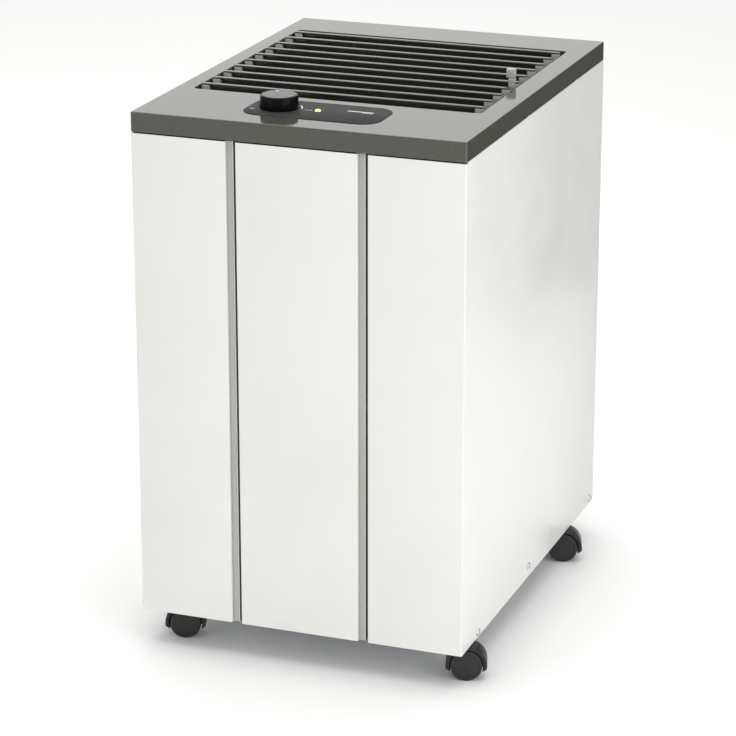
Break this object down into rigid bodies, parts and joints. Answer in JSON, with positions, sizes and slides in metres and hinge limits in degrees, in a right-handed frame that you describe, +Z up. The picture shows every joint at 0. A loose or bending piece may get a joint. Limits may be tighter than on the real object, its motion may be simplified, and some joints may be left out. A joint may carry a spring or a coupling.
{
  "type": "dehumidifier",
  "caption": "Portable compressor dehumidifier on castors: white steel cabinet, grey louvred top cover with a knob and lamp, and a lift-off grooved front hiding the water tank.",
  "frame": {"origin": "on the floor, under the middle of the cabinet", "axes": "+X to the right of someone facing the front, +Y towards the back, +Z up"},
  "size_m": [0.3747, 0.472, 0.592],
  "materials": {
    "white_steel": "powder-coated satin white",
    "groove_grey": "satin grey",
    "cover_plastic": "moulded, fine grain, gloss",
    "overlay_film": "printed film",
    "lamp_lens": "clear coloured lens",
    "control_black": "moulded",
    "knob_disc": "turned disc",
    "louvre_plastic": "moulded, gloss",
    "black_plastic": "moulded",
    "zinc_steel": "zinc coated",
    "coil_fins": "bare fin stock",
    "copper_pipe": "drawn copper",
    "compressor_paint": "gloss black enamel",
    "rubber": "moulded rubber",
    "motor_paint": "satin",
    "fan_plastic": "moulded",
    "tray_plastic": "moulded white",
    "tank_plastic": "translucent",
    "float_foam": "closed-cell foam",
    "filter_net": "woven nylon net",
    "screw_steel": "bright zinc",
    "castor_plastic": "moulded nylon",
    "wheel_plastic": "moulded nylon"
  },
  "bodies": {
    "cabinet": {"casing": "white_steel", "back_panel": "white_steel", "base_tray": "zinc_steel", "top_cover": "cover_plastic", "control_overlay": "overlay_film", "power_lamp": "lamp_lens", "humidistat": "control_black", "louvre_frame": "black_plastic", "partition": "zinc_steel", "evaporator": "coil_fins", "condenser": "coil_fins", "refrigerant_pipes": "copper_pipe", "compressor": "compressor_paint", "compressor_mounts": "rubber", "fan_motor": "motor_paint", "fan_shroud": "black_plastic", "drip_tray": "tray_plastic", "electrical_box": "zinc_steel", "cord_inlet": "black_plastic", "drain_spigot": "black_plastic", "casing_screws": "screw_steel", "float_switch": "black_plastic"},
    "knob": {"knob": "control_black", "knob_cap": "knob_disc"},
    "blade_1": {"louvre_blade_1": "louvre_plastic"},
    "blade_2": {"louvre_blade_2": "louvre_plastic"},
    "blade_3": {"louvre_blade_3": "louvre_plastic"},
    "blade_4": {"louvre_blade_4": "louvre_plastic"},
    "blade_5": {"louvre_blade_5": "louvre_plastic", "louvre_lever": "louvre_plastic"},
    "blade_6": {"louvre_blade_6": "louvre_plastic"},
    "blade_7": {"louvre_blade_7": "louvre_plastic"},
    "blade_8": {"louvre_blade_8": "louvre_plastic"},
    "blade_9": {"louvre_blade_9": "louvre_plastic"},
    "blade_10": {"louvre_blade_10": "louvre_plastic"},
    "link_bar": {"louvre_link_bar": "black_plastic"},
    "front_panel": {"front_panel": "white_steel", "groove_strips": "groove_grey"},
    "tank": {"water_tank": "tank_plastic"},
    "tank_handle": {"tank_handle": "black_plastic"},
    "float": {"float": "float_foam"},
    "filter": {"filter_frame": "black_plastic", "filter_mesh": "filter_net"},
    "fan": {"fan_rotor": "fan_plastic"},
    "castor_front_left": {"castor_front_left_housing": "castor_plastic", "castor_front_left_axle": "screw_steel"},
    "castor_front_left_wheel_a": {"castor_front_left_wheel_a": "wheel_plastic"},
    "castor_front_left_wheel_b": {"castor_front_left_wheel_b": "wheel_plastic"},
    "castor_front_right": {"castor_front_right_housing": "castor_plastic", "castor_front_right_axle": "screw_steel"},
    "castor_front_right_wheel_a": {"castor_front_right_wheel_a": "wheel_plastic"},
    "castor_front_right_wheel_b": {"castor_front_right_wheel_b": "wheel_plastic"},
    "castor_rear_left": {"castor_rear_left_housing": "castor_plastic", "castor_rear_left_axle": "screw_steel"},
    "castor_rear_left_wheel_a": {"castor_rear_left_wheel_a": "wheel_plastic"},
    "castor_rear_left_wheel_b": {"castor_rear_left_wheel_b": "wheel_plastic"},
    "castor_rear_right": {"castor_rear_right_housing": "castor_plastic", "castor_rear_right_axle": "screw_steel"},
    "castor_rear_right_wheel_a": {"castor_rear_right_wheel_a": "wheel_plastic"},
    "castor_rear_right_wheel_b": {"castor_rear_right_wheel_b": "wheel_plastic"}
  },
  "joints": [
    {"name": "knob_turn", "type": "hinge", "parent": "cabinet", "child": "knob", "pos_m": [-0.043, -0.171, 0.5766], "axis": [0, 0, 1], "range_deg": [-150, 150]},
    {"name": "louvre_tilt", "type": "hinge", "parent": "cabinet", "child": "blade_5", "pos_m": [0, 0.01202, 0.567], "axis": [1, 0, 0], "range_deg": [-35, 35]},
    {"name": "blade_1_tilt", "type": "hinge", "parent": "cabinet", "child": "blade_1", "pos_m": [0, -0.1038, 0.567], "axis": [1, 0, 0], "range_deg": [-35, 35]},
    {"name": "blade_2_tilt", "type": "hinge", "parent": "cabinet", "child": "blade_2", "pos_m": [0, -0.07484, 0.567], "axis": [1, 0, 0], "range_deg": [-35, 35]},
    {"name": "blade_3_tilt", "type": "hinge", "parent": "cabinet", "child": "blade_3", "pos_m": [0, -0.04589, 0.567], "axis": [1, 0, 0], "range_deg": [-35, 35]},
    {"name": "blade_4_tilt", "type": "hinge", "parent": "cabinet", "child": "blade_4", "pos_m": [0, -0.01693, 0.567], "axis": [1, 0, 0], "range_deg": [-35, 35]},
    {"name": "blade_6_tilt", "type": "hinge", "parent": "cabinet", "child": "blade_6", "pos_m": [0, 0.04098, 0.567], "axis": [1, 0, 0], "range_deg": [-35, 35]},
    {"name": "blade_7_tilt", "type": "hinge", "parent": "cabinet", "child": "blade_7", "pos_m": [0, 0.06993, 0.567], "axis": [1, 0, 0], "range_deg": [-35, 35]},
    {"name": "blade_8_tilt", "type": "hinge", "parent": "cabinet", "child": "blade_8", "pos_m": [0, 0.09889, 0.567], "axis": [1, 0, 0], "range_deg": [-35, 35]},
    {"name": "blade_9_tilt", "type": "hinge", "parent": "cabinet", "child": "blade_9", "pos_m": [0, 0.12784, 0.567], "axis": [1, 0, 0], "range_deg": [-35, 35]},
    {"name": "blade_10_tilt", "type": "hinge", "parent": "cabinet", "child": "blade_10", "pos_m": [0, 0.1568, 0.567], "axis": [1, 0, 0], "range_deg": [-35, 35]},
    {"name": "link_bar_turn", "type": "hinge", "parent": "blade_5", "child": "link_bar", "pos_m": [0.1402, 0.01402, 0.554], "axis": [1, 0, 0], "range_deg": [-35, 35]},
    {"name": "panel_pull", "type": "slide", "parent": "cabinet", "child": "front_panel", "axis": [0, -1, 0], "range_m": [0, 0.4]},
    {"name": "tank_slide", "type": "slide", "parent": "cabinet", "child": "tank", "axis": [0, -1, 0], "range_m": [0, 0.2]},
    {"name": "handle_swing", "type": "hinge", "parent": "tank", "child": "tank_handle", "pos_m": [0, -0.2058, 0.278], "axis": [1, 0, 0], "range_deg": [0, 90]},
    {"name": "float_rise", "type": "hinge", "parent": "tank", "child": "float", "pos_m": [0.06, -0.0537, 0.267], "axis": [-1, 0, 0], "range_deg": [0, 25]},
    {"name": "filter_pull", "type": "slide", "parent": "cabinet", "child": "filter", "axis": [0, 1, 0], "range_m": [0, 0.05]},
    {"name": "fan_spin", "type": "hinge", "parent": "cabinet", "child": "fan", "pos_m": [0, 0.1108, 0.4215], "axis": [0, 1, 0], "continuous": true},
    {"name": "front_left_swivel", "type": "hinge", "parent": "cabinet", "child": "castor_front_left", "pos_m": [-0.157, -0.206, 0.0375], "axis": [0, 0, 1], "continuous": true},
    {"name": "front_left_wheel_a_roll", "type": "hinge", "parent": "castor_front_left", "child": "castor_front_left_wheel_a", "pos_m": [-0.14269, -0.20149, 0.0165], "axis": [-0.3007, 0.9537, 0], "continuous": true},
    {"name": "front_left_wheel_b_roll", "type": "hinge", "parent": "castor_front_left", "child": "castor_front_left_wheel_b", "pos_m": [-0.14269, -0.20149, 0.0165], "axis": [-0.3007, 0.9537, 0], "continuous": true},
    {"name": "front_right_swivel", "type": "hinge", "parent": "cabinet", "child": "castor_front_right", "pos_m": [0.157, -0.206, 0.0375], "axis": [0, 0, 1], "continuous": true},
    {"name": "front_right_wheel_a_roll", "type": "hinge", "parent": "castor_front_right", "child": "castor_front_right_wheel_a", "pos_m": [0.17131, -0.20149, 0.0165], "axis": [-0.3007, 0.9537, 0], "continuous": true},
    {"name": "front_right_wheel_b_roll", "type": "hinge", "parent": "castor_front_right", "child": "castor_front_right_wheel_b", "pos_m": [0.17131, -0.20149, 0.0165], "axis": [-0.3007, 0.9537, 0], "continuous": true},
    {"name": "rear_left_swivel", "type": "hinge", "parent": "cabinet", "child": "castor_rear_left", "pos_m": [-0.157, 0.135, 0.0375], "axis": [0, 0, 1], "continuous": true},
    {"name": "rear_left_wheel_a_roll", "type": "hinge", "parent": "castor_rear_left", "child": "castor_rear_left_wheel_a", "pos_m": [-0.14269, 0.13951, 0.0165], "axis": [-0.3007, 0.9537, 0], "continuous": true},
    {"name": "rear_left_wheel_b_roll", "type": "hinge", "parent": "castor_rear_left", "child": "castor_rear_left_wheel_b", "pos_m": [-0.14269, 0.13951, 0.0165], "axis": [-0.3007, 0.9537, 0], "continuous": true},
    {"name": "rear_right_swivel", "type": "hinge", "parent": "cabinet", "child": "castor_rear_right", "pos_m": [0.157, 0.135, 0.0375], "axis": [0, 0, 1], "continuous": true},
    {"name": "rear_right_wheel_a_roll", "type": "hinge", "parent": "castor_rear_right", "child": "castor_rear_right_wheel_a", "pos_m": [0.17131, 0.13951, 0.0165], "axis": [-0.3007, 0.9537, 0], "continuous": true},
    {"name": "rear_right_wheel_b_roll", "type": "hinge", "parent": "castor_rear_right", "child": "castor_rear_right_wheel_b", "pos_m": [0.17131, 0.13951, 0.0165], "axis": [-0.3007, 0.9537, 0], "continuous": true}
  ],
  "couplings": [
    {"joint": "blade_1_tilt", "follows": "louvre_tilt", "ratio": 1},
    {"joint": "blade_2_tilt", "follows": "louvre_tilt", "ratio": 1},
    {"joint": "blade_3_tilt", "follows": "louvre_tilt", "ratio": 1},
    {"joint": "blade_4_tilt", "follows": "louvre_tilt", "ratio": 1},
    {"joint": "blade_6_tilt", "follows": "louvre_tilt", "ratio": 1},
    {"joint": "blade_7_tilt", "follows": "louvre_tilt", "ratio": 1},
    {"joint": "blade_8_tilt", "follows": "louvre_tilt", "ratio": 1},
    {"joint": "blade_9_tilt", "follows": "louvre_tilt", "ratio": 1},
    {"joint": "blade_10_tilt", "follows": "louvre_tilt", "ratio": 1},
    {"joint": "link_bar_turn", "follows": "louvre_tilt", "ratio": -1},
    {"joint": "tank_slide", "follows": "panel_pull", "ratio": 0.5}
  ]
}
